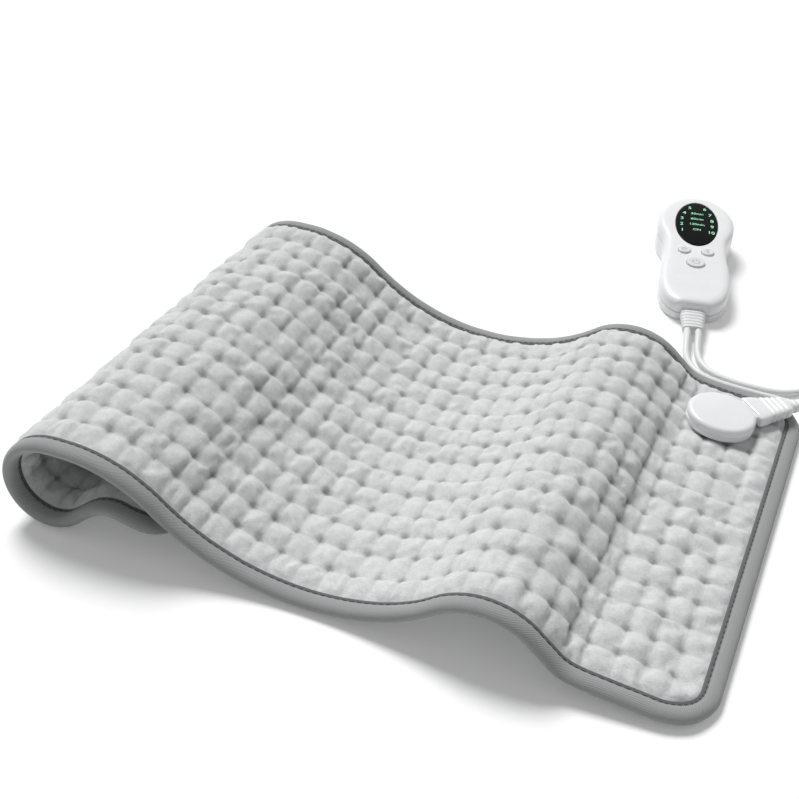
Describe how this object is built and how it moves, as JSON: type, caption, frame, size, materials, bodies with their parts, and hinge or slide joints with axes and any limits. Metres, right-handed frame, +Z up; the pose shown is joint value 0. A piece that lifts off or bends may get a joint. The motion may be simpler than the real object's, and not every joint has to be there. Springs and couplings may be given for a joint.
{
  "type": "electric heating pad with controller",
  "caption": "Electric heating pad with waffle-quilted plush covers and a bound edge, a disc socket with its pull-out plug, and a hand controller with display window, push buttons and leads.",
  "frame": {"origin": "On the surface the pad lies on, under the middle of the box around pad and controller, leads left out", "axes": "+X from the rolled end of the pad to its plug end, +Y from the pad to the controller behind it, +Z up"},
  "size_m": [0.4695, 0.5342, 0.0574],
  "materials": {
    "white_plastic": "satin moulded",
    "plush": "short plush, waffle quilted",
    "binding": "woven tape",
    "felt": "needled felt",
    "cord": "smooth flexible sheath",
    "dark_window": "polished, smoked",
    "black_plastic": "moulded",
    "grey_plastic": "moulded",
    "board": "laminate",
    "steel": "bright",
    "brass": "bright",
    "button_plastic": "fine matte"
  },
  "bodies": {
    "root": {"top_cover": "plush", "bottom_cover": "plush", "heater_felt": "felt", "heating_wire": "brass", "edge_binding": "binding", "thermal_cutout": "steel", "socket_housing": "white_plastic", "socket_plate": "white_plastic", "socket_screw_1": "steel", "socket_screw_2": "steel", "socket_screw_3": "steel", "socket_pin_1": "brass", "socket_pin_2": "brass", "controller_front_shell": "white_plastic", "display_window": "dark_window", "display_module": "black_plastic", "circuit_board": "board", "left_button_switch": "black_plastic", "right_button_switch": "black_plastic", "power_button_switch": "black_plastic", "control_chip": "black_plastic", "triac": "black_plastic", "capacitor": "grey_plastic", "fuse": "steel", "case_screw_1": "steel", "case_screw_2": "steel", "case_screw_3": "steel", "case_screw_4": "steel", "controller_rear_shell": "white_plastic", "controller_strain_relief": "white_plastic", "pad_lead": "cord", "pad_lead_coil": "cord", "pad_lead_end": "cord", "pad_lead_tie": "black_plastic", "mains_lead": "cord", "mains_lead_coil": "cord", "mains_lead_end": "cord", "mains_lead_tie": "black_plastic", "wall_plug_strain_relief": "white_plastic", "wall_plug_body": "white_plastic", "wall_prong_1": "steel", "wall_prong_2": "steel"},
    "left_button": {"left_button": "button_plastic"},
    "right_button": {"right_button": "button_plastic"},
    "power_button": {"power_button": "button_plastic"},
    "plug": {"plug_upper_shell": "white_plastic", "plug_lower_shell": "white_plastic", "plug_contact_1": "brass", "plug_contact_2": "brass", "plug_strain_relief": "white_plastic"}
  },
  "joints": [
    {"name": "left_button_press", "type": "slide", "parent": "root", "child": "left_button", "axis": [-0.0184, 0.0852, -0.9962], "range_m": [0, 0.0008], "stiffness_N_per_m": 400},
    {"name": "right_button_press", "type": "slide", "parent": "root", "child": "right_button", "axis": [-0.0184, 0.0852, -0.9962], "range_m": [0, 0.0008], "stiffness_N_per_m": 400},
    {"name": "power_button_press", "type": "slide", "parent": "root", "child": "power_button", "axis": [-0.0184, 0.0852, -0.9962], "range_m": [0, 0.0008], "stiffness_N_per_m": 400},
    {"name": "plug_pull", "type": "slide", "parent": "root", "child": "plug", "axis": [0.7035, 0.7071, -0.0715], "range_m": [0, 0.014], "deforming": ["pad_lead_end"]}
  ]
}
